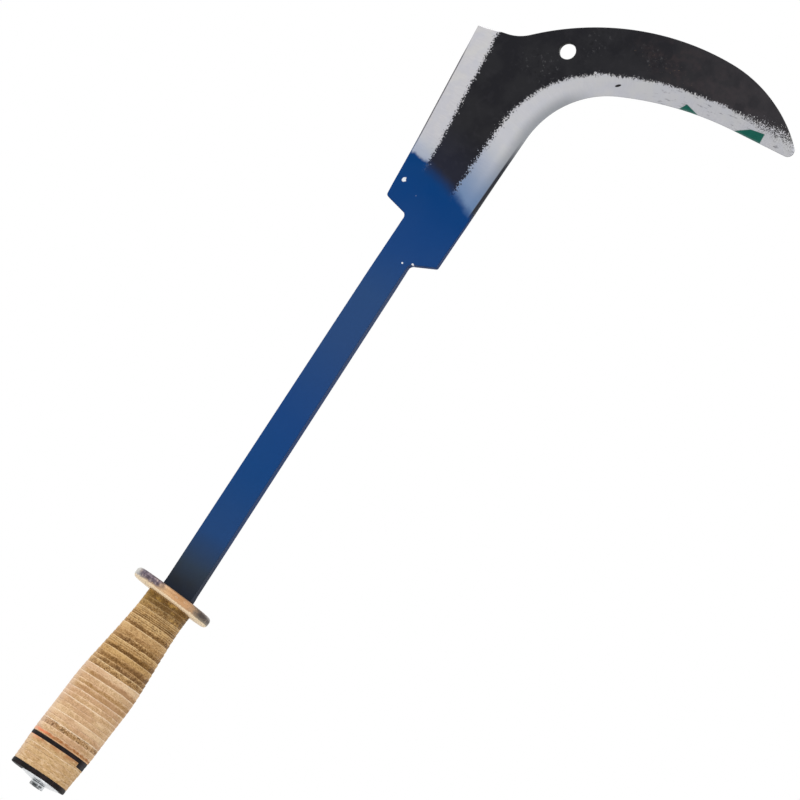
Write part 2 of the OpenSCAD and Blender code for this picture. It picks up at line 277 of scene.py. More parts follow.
def corner(before, at, after, r):
    """The arc that rounds a corner between two straight lines."""
    u = (before - at) / np.linalg.norm(before - at)
    v = (after - at) / np.linalg.norm(after - at)
    half = math.acos(float(u @ v)) / 2
    middle = (u + v) / np.linalg.norm(u + v)
    centre = at + middle * r / math.sin(half)
    start = angle_of(at + u * r / math.tan(half) - centre)
    end = angle_of(at + v * r / math.tan(half) - centre)
    return arc(centre, r, start, start + (end - start + 540) % 360 - 180)


def reach(p, angle, centre, r):
    """How far along a line from p its two crossings with a circle lie."""
    b = float((p - centre) @ dir_of(angle))
    k = math.sqrt(b * b - float((p - centre) @ (p - centre)) + r * r)
    return -b - k, -b + k


outer_back_c = CREST - np.array([0, OUTER_BACK_R])
outer_tip_c = CREST - np.array([0, OUTER_TIP_R])
hollow_from = BACK_TOP + TOP_HOLLOW_R * dir_of(TOP_SLOPE + 90)
hollow_reach = reach(hollow_from, TOP_SLOPE, outer_back_c, OUTER_BACK_R + TOP_HOLLOW_R)[0]
hollow_c = hollow_from + hollow_reach * dir_of(TOP_SLOPE)
hollow_end = angle_of(outer_back_c - hollow_c)

front_a = 180 - FRONT_LEAN
open_a = 90 + THROAT_OPEN
tip_a = 90 + TIP_SLOPE
hook_c = THROAT_C + (THROAT_R - HOOK_R) * dir_of(open_a)
front_top = THROAT_C + THROAT_R * dir_of(front_a)
hook_end = hook_c + HOOK_R * dir_of(tip_a)
tip_from = hook_end + TIP_R * dir_of(tip_a)
tip_c = tip_from + reach(tip_from, TIP_SLOPE, outer_tip_c, OUTER_TIP_R - TIP_R)[1] * dir_of(TIP_SLOPE)
tip_out = angle_of(tip_c - outer_tip_c)


def front_at(z):
    return np.array([front_top[0] + (z - front_top[1]) * math.tan(math.radians(FRONT_LEAN)), z])


def back_at(z):
    return np.array([BACK_TOP[0] + (BACK_TOP[1] - z) * math.tan(math.radians(BACK_LEAN)), z])


def shank_at(side, w):
    return SHANK_X + side * w / 2


def base_at(side):
    lean = math.tan(math.radians(GRIP_CANT))
    return np.array([shank_at(side, SHANK_BASE_W), -GUARD_DROP - side * SHANK_BASE_W / 2 * lean])


def forging_outline():
    """The clockwise outline of blade, ricasso and shank, from the top of the back edge."""
    heel = back_at(HEEL_Z)
    foot = front_at(FOOT_Z)
    left = shank_at(-1, SHANK_TOP_W)
    right = shank_at(1, SHANK_TOP_W)
    shoulder = np.array([left, heel[1] - (left - heel[0]) * math.tan(math.radians(SHOULDER_SLOPE))])
    crotch = np.array([right, foot[1] - (foot[0] - right) * math.tan(math.radians(FOOT_SLOPE))])
    points = [BACK_TOP]
    points += arc(hollow_c, TOP_HOLLOW_R, TOP_SLOPE - 90, hollow_end)
    points += arc(outer_back_c, OUTER_BACK_R, hollow_end + 180, 90)[1:]
    points += arc(outer_tip_c, OUTER_TIP_R, 90, tip_out)[1:]
    points += arc(tip_c, TIP_R, tip_out, TIP_SLOPE - 90)[1:]
    points += arc(hook_c, HOOK_R, tip_a, open_a)
    points += arc(THROAT_C, THROAT_R, open_a, front_a)[1:]
    points += corner(front_top, foot, crotch, FOOT_R)
    points += corner(foot, crotch, base_at(1), SHANK_HOLLOW_R)
    points += [base_at(1), base_at(-1)]
    points += corner(base_at(-1), shoulder, heel, SHANK_HOLLOW_R)
    points += corner(shoulder, heel, BACK_TOP, HEEL_R)
    return filled_in(points, STRAIGHT_STEP)


def filled_in(points, step):
    """A closed outline with extra points on its long straight stretches."""
    dense = []
    for a, b in zip(points, points[1:] + points[:1]):
        n = max(1, math.ceil(np.linalg.norm(b - a) / step))
        dense += [a + (b - a) * i / n for i in range(n)]
    return np.array(dense)


def inset(loop, gap):
    """The outline moved inwards by a gap; the outline runs clockwise."""
    ahead = np.roll(loop, -1, axis=0) - loop
    ahead /= np.linalg.norm(ahead, axis=1)[:, None]
    inward = np.stack([ahead[:, 1], -ahead[:, 0]], axis=1)
    both = inward + np.roll(inward, 1, axis=0)
    both /= np.linalg.norm(both, axis=1)[:, None]
    mitre = np.clip((both * inward).sum(axis=1), 0.5, 1)
    return loop + both * (gap / mitre)[:, None]


def inside(points, loop):
    """Which points lie inside a closed outline."""
    a = loop
    b = np.roll(loop, -1, axis=0)
    odd = np.zeros(len(points), dtype=bool)
    for (ax, az), (bx, bz) in zip(a, b):
        if az == bz:
            continue
        crosses = (points[:, 1] < az) != (points[:, 1] < bz)
        odd ^= crosses & (points[:, 0] < ax + (points[:, 1] - az) * (bx - ax) / (bz - az))
    return odd


def nearest(points, line):
    """Distance of each point from a line of points, and the run along that line to the nearest place."""
    best = np.full(len(points), 1e9)
    run = np.zeros(len(points))
    walked = 0.0
    for a, b in zip(line[:-1], line[1:]):
        step = b - a
        length = float(np.linalg.norm(step))
        share = np.clip((points - a) @ step / length ** 2, 0, 1)
        gap = np.linalg.norm(points - a - share[:, None] * step, axis=1)
        closer = gap < best
        best = np.where(closer, gap, best)
        run = np.where(closer, walked + share * length, run)
        walked += length
    return best, run


# Ground bevels along the cutting edge and the back

def front_width(angle):
    share = (angle - tip_a) / (front_a - tip_a)
    return TIP_BEVEL_W + (HEEL_BEVEL_W - TIP_BEVEL_W) * share


def front_edge():
    """Points of the cutting edge from the foot past the tip, their inward angles and the bevel's widths."""
    straight = [front_at(FOOT_Z + (front_top[1] - FOOT_Z) * i / FRONT_ROWS) for i in range(FRONT_ROWS)]
    rows = [(p, front_a) for p in straight]
    rows += [(p, angle_of(p - THROAT_C)) for p in arc(THROAT_C, THROAT_R, front_a, open_a)]
    rows += [(p, angle_of(p - hook_c)) for p in arc(hook_c, HOOK_R, open_a, tip_a)[1:]]
    past_tip = tip_c[0] - hook_end[0] + TIP_BEVEL_W
    for i in range(1, TIP_ROWS + 1):
        rows.append((hook_end + past_tip * i / TIP_ROWS * dir_of(TIP_SLOPE), tip_a))
    line = np.array([p for p, a in rows])
    into = np.array([dir_of(a) for p, a in rows])
    width = np.array([front_width(a) for p, a in rows])
    return line, into, width


def back_edge():
    """The same for the back edge, from above its top down to the heel."""
    line = np.array([back_at(BACK_TOP[1] + BACK_BEVEL_W - i * STRAIGHT_STEP) for i in range(BACK_ROWS)])
    into = np.repeat([dir_of(BACK_LEAN)], BACK_ROWS, axis=0)
    width = np.full(BACK_ROWS, BACK_BEVEL_W)
    return line, into, width


def lengths(line):
    """The run along a line of points up to each point."""
    return np.concatenate([[0], np.cumsum(np.linalg.norm(np.diff(line, axis=0), axis=1))])


def run_out(z, full):
    """How deep a bevel still is at a height: 1 above full, 0 where it stops."""
    return np.clip((z - BEVEL_STOP_Z) / (full - BEVEL_STOP_Z), 0, 1)


def bumps(points, scale, seed):
    """Smooth noise between about -1 and 1 at each point."""
    return np.array([noise.noise(Vector((p[0] / scale, p[1] / scale, seed))) for p in points])


def paint_edge(x):
    """Height of the paint's upper edge."""
    share = np.clip((x - PAINT_BACK[0]) / (PAINT_FRONT[0] - PAINT_BACK[0]), 0, 1.2)
    return PAINT_BACK[1] + (PAINT_FRONT[1] - PAINT_BACK[1]) * share ** PAINT_BOW


# Stack of the grip, measured down the tang from the guard's upper face

on_tang = Matrix.Translation(Vector((SHANK_X, 0, -GUARD_DROP)) * MM) @ Matrix.Rotation(
    math.radians(GRIP_CANT), 4, "Y")
LEAN = math.tan(math.radians(WASHER_LEAN))


def washer_thk(i):
    return LEATHER_THK + LEATHER_SPREAD * math.sin(math.radians(WASHER_TURN * i))


def stack(n):
    return sum(washer_thk(i) for i in range(1, n + 1))


WASHERS = UPPER_WASHERS + LOWER_WASHERS
spacer_top = GUARD_THK + stack(UPPER_WASHERS)
butt_top = GUARD_THK + stack(WASHERS) + SPACER_THK
plate_top = butt_top + BUTT_THK
nut_top = plate_top + PLATE_RIM + PLATE_RISE
thread_end = nut_top + NUT_H + THREAD_PROUD


def washer_top(i):
    return GUARD_THK + stack(i - 1) + (SPACER_THK if i > UPPER_WASHERS else 0)


def ease(t):
    return (1 - math.cos(math.pi * min(1, max(0, t)))) / 2


def grip_size(d, axis):
    """Width (axis 0) or depth (axis 1) of the grip at a place down the tang."""
    neck = NECK[axis]
    belly = BELLY[axis]
    butt = BUTT[axis]
    grow = ease((d - GUARD_THK - NECK_LEN) / (BELLY_START - NECK_LEN))
    shrink = ease((d - GUARD_THK - BELLY_END) / (plate_top - GUARD_THK - BELLY_END))
    return neck + (belly - neck) * grow - (belly - butt) * shrink


def grip_x(d):
    return -NECK_BACK * (1 - ease((d - GUARD_THK) / BELLY_START))


def butt_lean(unit):
    """Turns the butt's pieces about the thread into the lean of the washers."""
    pivot = Vector((THREAD_SHIFT, 0, THREAD_SHIFT * LEAN - plate_top)) * unit
    start = Vector((-THREAD_SHIFT, 0, plate_top)) * unit
    return Matrix.Translation(pivot) @ Matrix.Rotation(
        math.radians(-WASHER_LEAN), 4, "Y") @ Matrix.Translation(start)


on_butt = on_tang @ butt_lean(MM)


# Shader expressions

def tint(red, green, blue):
    """A colour written in the screen's 0 to 255 steps."""
    shares = [c / 255 for c in (red, green, blue)]
    return tuple(s / 12.92 if s < 0.04045 else ((s + 0.055) / 1.055) ** 2.4 for s in shares) + (1.0,)


class Value:
    """A shader socket that Python's operators work on."""

    def __init__(self, finish, socket):
        self.finish = finish
        self.socket = socket

    def maths(self, operation, first, second):
        return self.finish.node("Math", {"operation": operation}, {0: first, 1: second})

    def __add__(self, other):
        return self.maths("ADD", self, other)

    def __radd__(self, other):
        return self.maths("ADD", other, self)

    def __sub__(self, other):
        return self.maths("SUBTRACT", self, other)

    def __rsub__(self, other):
        return self.maths("SUBTRACT", other, self)

    def __mul__(self, other):
        return self.maths("MULTIPLY", self, other)

    def __rmul__(self, other):
        return self.maths("MULTIPLY", other, self)

    def __truediv__(self, other):
        return self.maths("DIVIDE", self, other)

    def __pow__(self, other):
        return self.maths("POWER", self, other)

    def at_least(self, other):
        return self.maths("MAXIMUM", self, other)


class Finish:
    """A material, or the world, whose nodes are made by one method."""

    def __init__(self, owner):
        owner.use_nodes = True
        self.owner = owner
        self.tree = owner.node_tree
        self.tree.nodes.clear()

    def node(self, kind, settings, inputs, out=0):
        made = self.tree.nodes.new("ShaderNode" + kind)
        for key, value in settings.items():
            if key == "stops":
                self.set_stops(made.color_ramp.elements, value)
            else:
                setattr(made, key, value)
        for key, value in inputs.items():
            if isinstance(value, Value):
                self.tree.links.new(value.socket, made.inputs[key])
            else:
                made.inputs[key].default_value = value
        return Value(self, made.outputs[out]) if made.outputs else made

    def set_stops(self, elements, stops):
        for _ in range(len(stops) - 2):
            elements.new(0.5)
        for element, (place, colour) in zip(elements, stops):
            element.position = place
            element.color = colour

    def place(self):
        """The place on the piece in millimetres."""
        metres = self.node("TexCoord", {}, {}, out="Object")
        return self.node("VectorMath", {"operation": "SCALE"}, {0: metres, "Scale": 1 / MM})

    def parts(self, vector):
        return [self.node("SeparateXYZ", {}, {0: vector}, out=i) for i in range(3)]

    def stretched(self, vector, by):
        return self.node("VectorMath", {"operation": "MULTIPLY"}, {0: vector, 1: by})

    def vector(self, x, y, z):
        return self.node("CombineXYZ", {}, {0: x, 1: y, 2: z})

    def mark(self, name):
        return self.node("Attribute", {"attribute_name": name}, {}, out="Fac")

    def grain(self, vector, scale, detail=2.0, rough=0.5):
        return self.node("TexNoise", {}, {"Vector": vector, "Scale": scale, "Detail": detail,
                                          "Roughness": rough})

    def between(self, value, low, high):
        """0 where the value is at low, 1 where it is at high, eased."""
        if low < high:
            return self.node("MapRange", {"interpolation_type": "SMOOTHSTEP"},
                             {"Value": value, "From Min": low, "From Max": high})
        return 1 - self.between(value, high, low)

    def stretch(self, value, start, end):
        """1 between a start and an end, each a stretch from none to full."""
        return self.between(value, *start) * self.between(value, *end)

    def mix(self, share, first, second):
        """Colours by a share; a Mix node's colour sockets are known by their numbers."""
        return self.node("Mix", {"data_type": "RGBA"}, {0: share, 6: first, 7: second}, out=2)

    def ramp(self, value, stops):
        return self.node("ValToRGB", {"stops": stops}, {"Fac": value})

    def relief(self, height, depth):
        return self.node("Bump", {}, {"Height": height, "Distance": depth * MM})

    def shade(self, inputs):
        shader = self.node("BsdfPrincipled", {}, inputs)
        self.node("OutputMaterial", {}, {"Surface": shader})
        return self.owner


def new_finish(name):
    return Finish(bpy.data.materials.new(name))


def most(masks):
    """The greatest of several masks."""
    return functools.reduce(Value.at_least, masks)


# Marks on a face

def near(f, x, z, centre, reach_xz):
    """1 around a place on the blade's face, fading out over an oval."""
    away = ((x - centre[0]) / reach_xz[0]) ** 2.0 + ((z - centre[1]) / reach_xz[1]) ** 2.0
    return f.between(away, 1.0, 0.2)


def spot(f, x, z, centre, r, wobble):
    """A ragged round mark at a place on the blade's face."""
    away = ((x - centre[0]) ** 2.0 + (z - centre[1]) ** 2.0) ** 0.5
    return f.between(away + (wobble - 0.5) * 3 * r, r * 1.1, r * 0.8)


def scrap(f, x, z, start, peak, end, stop):
    """A scrap between the cutting edge and two straight sides that meet at a peak."""
    inside_x = f.between(x, start[0] - 0.4, start[0]) * f.between(x, stop + 0.3, stop - 0.3)
    return line_side(f, x, z, start, peak) * line_side(f, x, z, peak, end) * inside_x


def line_side(f, x, z, start, end):
    """1 below the line from start to end, 0 above it."""
    run = math.dist(start, end)
    across = (x - start[0]) * ((end[1] - start[1]) / run) - (z - start[1]) * ((end[0] - start[0]) / run)
    return f.between(across, -0.25, 0.25)


# Finishes

def forged_blade_finish():
    f = new_finish("forged_blade")
    p = f.place()
    x, y, z = f.parts(p)
    front_line = f.mark("front_line")
    front_gap = f.mark("front_gap")
    back_line = f.mark("back_line")
    edge_run = f.mark("edge_run")
    above_paint = f.mark("above_paint")
    side = f.mark("side")
    face = f.between(y, 0.5, -0.5)

    cloudy = f.grain(p, 0.05, 3)
    coarse = f.grain(p, 0.3, 3)
    fine = f.grain(p, 1.5, 4, 0.7)
    bite = f.grain(p, 0.8, 4, 0.8)
    drift = f.grain(p, 0.14, 2)

    # Dark scale with faint cloudy tones, scuffs round the hang hole, a little rust along the hook, and
    # painted sheen that lightens the flats towards the hook
    scale = f.mix(f.between(cloudy, 0.4, 0.6), tint(29, 29, 33), tint(36, 36, 39))
    scale = f.mix(f.between(coarse, 0.5, 0.68) * 0.3, scale, tint(44, 43, 47))
    bloom = near(f, x, z, *RUST_BLOOM) * f.between(drift, 0.4, 0.64) * f.between(coarse, 0.3, 0.6)
    scale = f.mix(bloom * 0.4, scale, tint(54, 44, 45))
    # Painted sheen: the scale turns a lighter grey towards the hook
    clouds = f.between(x, *HOOK_SHEEN_X) * (0.34 + f.between(drift, 0.3, 0.7) * 0.3)
    scale = f.mix(clouds, scale, tint(60, 57, 60))
    smudge = f.grain(f.vector(x * 0.35 + z * 0.2, y, z * 0.35 - x * 0.12), 1.0, 4, 0.75)
    scuff = most(near(f, x, z, *place) for place in SCUFFS)
    scale = f.mix(scuff * f.between(smudge, 0.45, 0.34) * 0.6, scale, tint(22, 22, 25))
    scale = f.mix(scuff * f.between(smudge, 0.57, 0.7) * 0.55, scale, tint(92, 92, 94))
    fleck = near(f, x, z, *PALE_FLECKS) * f.between(bite, 0.63, 0.7) * f.between(coarse, 0.48, 0.56)
    scale = f.mix(fleck * 0.8, scale, tint(150, 126, 98))
    # Painted shade: the wall of the hang hole is darkened almost to black
    hole_wall_shade = side * f.between(x ** 2.0 + z ** 2.0, (HANG_HOLE_R + 1.5) ** 2, (HANG_HOLE_R + 0.5) ** 2)
    scale = f.mix(hole_wall_shade, scale, tint(9, 9, 10))
    scale = f.mix(f.between(above_paint, 34, 2) * 0.3, scale, tint(40, 44, 66))

    # Bright ground steel with a ragged border that breaks up towards the tip
    near_tip = f.between(x, *CRUMBLED_TIP_X)
    spikes = f.grain(f.vector(edge_run * 1.3, front_gap * 0.4, y), 1.0, 4, 0.8)
    ragged = (spikes - 0.5) * 10 + (fine - 0.5) * 7 + (coarse - 0.5) * 3 + (drift - 0.5) * 2
    specks = f.grain(p, 0.95, 1, 0.5)
    back_rag = ragged * 0.5 + (specks - 0.5) * 7
    front_rag = ragged * 0.8 + (fine - 0.5) * near_tip * 30 + (bite - 0.5) * near_tip * 14 - near_tip * 0.4
    front_rag = front_rag + (specks - 0.5) * f.between(z, *SPECKS_Z) * 9
    on_front = f.between(front_line + front_rag, -0.6, 0.6)
    on_back = f.between(back_line + back_rag, -0.5, 0.5)
    # Painted shade: the lower side walls show the dark scale instead of ground steel
    ground = on_front.at_least(on_back) * (1 - side * f.between(z, *SHADED_SIDE_Z))
    marks = f.grain(f.vector(edge_run * 1.2, front_gap * 0.12, y), 1.0, 3, 0.6)
    soft = f.grain(p, 0.06, 2)
    steel = f.mix(f.between(marks, 0.3, 0.72), tint(179, 178, 182), tint(186, 185, 188))
    steel = f.mix(f.between(soft, 0.42, 0.6) * 0.6, steel, tint(186, 185, 183))
    steel = f.mix(f.between(drift, 0.46, 0.6) * 0.4, steel, tint(174, 175, 184))
    steel = f.mix(f.between(front_line, -0.5, 1.0) * 0.4, steel, tint(166, 168, 174))
    # Painted shade along the cutting edge in the throat, standing in for a rolled edge turned away from the
    # light
    rolled_edge_shade = f.between(front_gap, *ROLLED_SHADE_GAP) * f.between(z, *ROLLED_SHADE_Z) * f.between(x, *ROLLED_SHADE_X)
    steel = f.mix(rolled_edge_shade * 0.75, steel, tint(118, 122, 126))
    dashes = f.grain(f.vector(edge_run * 0.2, front_gap * 1.0, y), 1.0, 2, 0.5)
    flaws = f.between(dashes, 0.6, 0.68) * f.between(x, *FLAWS_X) * f.between(bite, 0.4, 0.56)
    steel = f.mix(flaws * 0.7, steel, tint(96, 94, 100))
    # Painted shade: a dark line along the back bevel's edge
    back_edge_shade = f.between(back_line, BACK_BEVEL_W - 1.0, BACK_BEVEL_W - 0.5) * f.between(z, *BACK_EDGE_SHADE_Z)
    steel = f.mix(back_edge_shade * 0.85, steel, tint(60, 60, 64))
    # Painted shade: a dark strip along the lower cutting edge, standing in for a rolled grind turned away
    # from the light
    front_edge_shade = f.between(front_gap, *FRONT_EDGE_SHADE_GAP) * f.between(z, *FRONT_EDGE_SHADE_Z)
    steel = f.mix(front_edge_shade * 0.96, steel, tint(34, 36, 42))
    # Painted shade darkens the ground steel on the side walls
    steel = f.mix(side * 0.7, steel, tint(96, 96, 98))
    bare = f.mix(ground, scale, steel)

    # A dark nick and scraps of green lacquer on the hook's bevel
    along = x - NICK[0]
    above = z - NICK[1] - along * NICK_SLOPE
    nick = f.between((along / NICK_REACH[0]) ** 2.0 + (above / NICK_REACH[1]) ** 2.0, 1.2, 0.7) * face
    bare = f.mix(nick, bare, tint(40, 38, 40))
    lacquer = most(scrap(f, x, z, *sides) for sides in GREEN_SCRAPS) * face
    bare = f.mix(lacquer, bare, f.mix(coarse, tint(18, 78, 68), tint(30, 94, 82)))

    # Blue paint: a soft edge on the scale, a sharper one on the back bevel, mist above it on both bevels
    blue = f.ramp((z + GUARD_DROP) / PAINT_RUN, (
        (0.0, tint(32, 35, 40)), (0.03, tint(42, 47, 54)), (0.062, tint(46, 57, 70)),
        (0.14, tint(32, 66, 114)), (0.3, tint(18, 64, 120)), (0.42, tint(24, 64, 120)),
        (0.6, tint(39, 69, 116)), (0.71, tint(39, 70, 116)), (0.81, tint(24, 63, 118)),
        (0.88, tint(15, 60, 117)), (0.95, tint(0, 56, 114)), (1.0, tint(0, 55, 110))))
    blue = f.mix(f.between(cloudy, 0.38, 0.62) * 0.08, blue, tint(40, 70, 116))
    blue = f.mix(f.between(fine, 0.66, 0.72) * 0.3, blue, tint(70, 96, 140))
    # Painted shade darkens the blue on the side walls
    blue = f.mix(side * 0.45, blue, tint(16, 30, 60))
    height = above_paint + (coarse - 0.5) * 3
    cover = f.mix(on_back, f.between(height, 3.5, -8.0), f.between(height, 1.6, -1.2))
    cover = f.mix(on_front, cover, f.between(height, 3.5, -4.5))
    mist = f.between(above_paint, 44, -4) * 0.84 * on_front * (1 - front_edge_shade)
    mist = mist.at_least(f.between(above_paint, 24, -1) ** 2.0 * 0.42 * on_back)
    mist = mist * (1 - side)
    bare = f.mix(mist, bare, tint(82, 118, 162))
    # Pale chips in the paint; two of them, at the ricasso's foot, are painted highlight
    chip_and_highlight = most(spot(f, x, z, middle, r, coarse) * strength for middle, r, strength in PAINT_CHIPS_AND_HIGHLIGHT) * face
    colour = f.mix(cover, bare, blue)
    colour = f.mix(chip_and_highlight, colour, tint(228, 230, 234))

    metal = ground * (1 - cover) * (1 - mist) * (1 - nick) * (1 - lacquer) * 0.85
    rough = 0.55 + (fine - 0.5) * 0.2 - metal * 0.12 + cover * 0.04
    relief = f.relief((fine + coarse * 0.8) * (1 - cover * 0.85), 0.05)
    return f.shade({"Base Color": colour, "Metallic": metal, "Roughness": rough, "Normal": relief,
                    "Specular IOR Level": 0.06})


# The guard's mottled steel, with painted reflection of the leather, painted shade and a painted highlight on
# its rims
def guard_mottle_and_painted_light_finish():
    f = new_finish("guard_mottle_and_painted_light")
    p = f.place()
    x, _, z = f.parts(p)
    cloudy = f.grain(p, 0.16, 3, 0.55)
    patchy = f.grain(p, 0.5, 4, 0.65)
    fine = f.grain(p, 1.8, 4, 0.65)
    along = x + GUARD_BACK + (cloudy - 0.5) * 6 + (patchy - 0.5) * 5
    height = z + (patchy - 0.5) * 3.5
    # Painted reflection of the leather along the guard: pale steel at the ends, tan and orange in the middle
    colour = f.ramp(along / GUARD_W + 0.5, (
        (0.0, tint(204, 203, 197)), (0.09, tint(196, 193, 188)), (0.24, tint(212, 188, 158)),
        (0.36, tint(220, 184, 142)), (0.5, tint(216, 176, 132)), (0.64, tint(204, 156, 110)),
        (0.8, tint(186, 144, 104)), (0.92, tint(132, 120, 104)), (1.0, tint(136, 128, 116))))
    # Painted shade on the upper rim at the back end, in dark purple-grey
    sloped = height - (x - GUARD_SHADE_X[0][0]) * 0.03
    back_end_shade = f.stretch(along, *GUARD_SHADE_X) * f.between(sloped, *GUARD_SHADE_Z)
    shade_tone = f.mix(f.between(patchy, 0.4, 0.6), tint(58, 50, 66), tint(104, 93, 108))
    colour = f.mix(back_end_shade * 0.95, colour, shade_tone)
    # Painted reflection of the leather's orange to the front of the middle
    orange_reflection = f.stretch(along, *GUARD_REFLECTION_X) * f.between(height, *GUARD_REFLECTION_Z)
    colour = f.mix(orange_reflection * 0.55, colour, tint(168, 124, 82))
    # Painted shade on the upper rim at the front end
    tip_end_shade = f.between(along, *GUARD_TIP_SHADE_X) * f.between(height, *GUARD_TIP_SHADE_Z)
    colour = f.mix(tip_end_shade * 0.85, colour, tint(70, 62, 62))
    # Painted shadow: a thin dark line along the guard's upper edge at the back
    top_shadow_line = f.between(z, *GUARD_SHADOW_Z) * f.between(x, *GUARD_SHADOW_X)
    colour = f.mix(top_shadow_line * 0.6, colour, tint(92, 74, 62))
    # Painted highlight: a near-white band along the lower rim, which faces down away from the lamps
    lower_rim_highlight = f.between(z + (patchy - 0.5) * 2, *GUARD_HIGHLIGHT_Z)
    colour = f.mix(lower_rim_highlight * 0.85, colour, tint(248, 226, 192))
    colour = f.mix(f.between(patchy, 0.54, 0.68) * 0.3, colour, tint(228, 206, 178))
    colour = f.mix(f.between(fine, 0.56, 0.68) * 0.4, colour, tint(124, 98, 78))
    relief = f.relief(fine + patchy, 0.06)
    return f.shade({"Base Color": colour, "Metallic": 0.35, "Roughness": 0.42 + fine * 0.2, "Normal": relief,
                    "Specular IOR Level": 0.2})


def leather_finish():
    f = new_finish("stacked_leather")
    p = f.place()
    x, y, z = f.parts(p)
    number = f.mark("number")
    down = f.mark("down")
    pale = f.mark("pale")
    dark = f.mark("dark")
    coarse = f.mark("coarse")
    joint = f.mark("joint")
    own = number * 7.3
    drift = f.grain(f.vector(x * 0.06, y * 0.06, own + down * 0.4), 1.0, 2)
    blotch = f.grain(f.vector(x * 0.22, y * 0.22, own + down * 1.1), 1.0, 3, 0.6)
    grit = f.grain(f.vector(x * 1.1, y * 1.1, z * 1.5), 1.0, 3, 0.8)
    crumbs = f.grain(f.vector(x * 0.55, y * 0.55, z * 0.9), 1.0, 3, 0.75)
    from_back = f.between(x, *LEATHER_SHADE_FROM_BACK_X)

    # Painted shade darkens each washer below its middle, and painted light from the back side fades that
    # shade towards the back
    place_down = down + (blotch - 0.5) * 0.9
    washer_shade = f.between(place_down, 0.0, 0.5) * f.between(place_down, 1.2, 0.75)
    shade = dark * (0.3 + washer_shade * 0.7) * (0.45 + from_back * 0.55)
    shade = shade + (drift - 0.5) * 1.0 + (blotch - 0.5) * 0.5 + (grit - 0.5) * 2.0
    brown = f.ramp(shade, ((0.0, tint(206, 166, 108)), (0.45, tint(164, 122, 68)), (1.0, tint(102, 68, 22))))
    tan = f.ramp(shade, ((0.0, tint(234, 201, 162)), (0.45, tint(206, 167, 123)), (1.0, tint(166, 122, 68))))
    tan = f.mix(f.between(drift, 0.44, 0.6) * 0.4, tan, tint(211, 168, 136))
    lower = f.between(number, UPPER_WASHERS, UPPER_WASHERS + 1)
    tan = f.mix(lower * 0.4, tan, tint(204, 168, 112))
    streaks = f.grain(f.vector(x * 0.3, y * 0.3, z * 1.1), 1.0, 3, 0.7)
    tan = f.mix(lower * f.between(streaks, 0.52, 0.64) * 0.6, tan, tint(156, 114, 62))
    tan = f.mix(lower * f.between(streaks, 0.46, 0.34) * 0.55, tan, tint(240, 210, 176))
    colour = f.mix(pale, brown, tan)

    # Painted shadow under the guard darkens the washers at the neck, with yellow at the back
    neck = f.between(z + (blotch - 0.5) * 10, *NECK_SHADOW_Z)
    neck_shadow_tone = f.mix(from_back * f.between(blotch, 0.25, 0.5), tint(196, 156, 74), tint(104, 76, 30))
    colour = f.mix(neck * 0.7, colour, neck_shadow_tone)

    # Dark and pale grains of the coarse washers, and thin pale lines at some joints and layers
    pit = coarse * f.between(grit + (blotch - 0.5) * 0.4, 0.5, 0.6) * (0.4 + from_back * 0.6)
    colour = f.mix(pit * (0.55 + pale * 0.3), colour, tint(78, 50, 16))
    crumb = coarse * f.between(grit, 0.42, 0.34) * 0.5
    line = f.between(down + (grit - 0.5) * 0.3, 0.22, 0.04) * f.between(crumbs, 0.34, 0.48) * joint
    layers = f.node("Math", {"operation": "PINGPONG"}, {0: down * 3.0 + (drift - 0.5) * 1.2, 1: 0.5})
    layers = f.between(layers + (grit - 0.5) * 0.25, 0.2, 0.06) * f.between(crumbs, 0.3, 0.45)
    line = line.at_least(layers * f.mark("layered") * 0.75)
    bright = f.mix(pale, tint(228, 196, 146), tint(252, 232, 204))
    colour = f.mix(line.at_least(crumb) * 0.85, colour, bright)

    # Dye from the spacer: a line in the washer above it and a speckled rim on the washer below
    dye_above = f.mark("dye_above")
    dye_below = f.mark("dye_below")
    dye_tone = f.mix(f.between(x + (blotch - 0.5) * 12, *DYE_TURN_X), tint(238, 126, 84), tint(160, 98, 46))
    dye_line = f.between(place_down, 0.2, 0.38) * f.between(down + (grit - 0.5) * 0.3, 0.84, 0.68)
    colour = f.mix(dye_above * dye_line * f.between(crumbs, 0.3, 0.55) * 0.95, colour, dye_tone)
    colour = f.mix(dye_above * f.between(down, 0.78, 0.9) * 0.5, colour, tint(232, 176, 126))
    speckled = f.between(down + (grit - 0.5) * 1.6, 0.62, 0.3) * f.between(blotch, 0.36, 0.52)
    rim_tone = f.mix(from_back, tint(240, 144, 108), tint(176, 114, 66))
    colour = f.mix(dye_below * speckled * 0.6, colour, rim_tone)

    # Painted light from the back side pales the back ends of the washers
    back_light_tone = f.mix(pale, tint(220, 184, 140), tint(236, 212, 194))
    colour = f.mix(f.between(x, *LEATHER_BACK_LIGHT_X) * 0.45, colour, back_light_tone)
    relief = f.relief(grit * (0.5 + coarse * 0.6) + crumbs * 0.4 + line * 0.3, 0.25)
    return f.shade({"Base Color": colour, "Roughness": 0.62 + (grit - 0.5) * 0.3, "Normal": relief,
                    "Specular IOR Level": 0.2})


def black_fibre_finish():
    f = new_finish("black_fibre")
    p = f.place()
    cloudy = f.grain(p, 0.25, 3)
    fine = f.grain(f.stretched(p, (1.2, 1.2, 4.0)), 1.0, 4, 0.65)
    colour = f.mix(f.between(cloudy, 0.4, 0.62), tint(22, 19, 19), tint(38, 29, 31))
    colour = f.mix(f.between(fine, 0.55, 0.72) * 0.4, colour, tint(58, 48, 46))
    relief = f.relief(fine, 0.12)
    return f.shade({"Base Color": colour, "Roughness": 0.55 + (fine - 0.5) * 0.4, "Normal": relief,
                    "Specular IOR Level": 0.1})


def off_thread(x, y):
    """Distance from the middle line of the thread."""
    return ((x - THREAD_SHIFT) ** 2.0 + y ** 2.0) ** 0.5


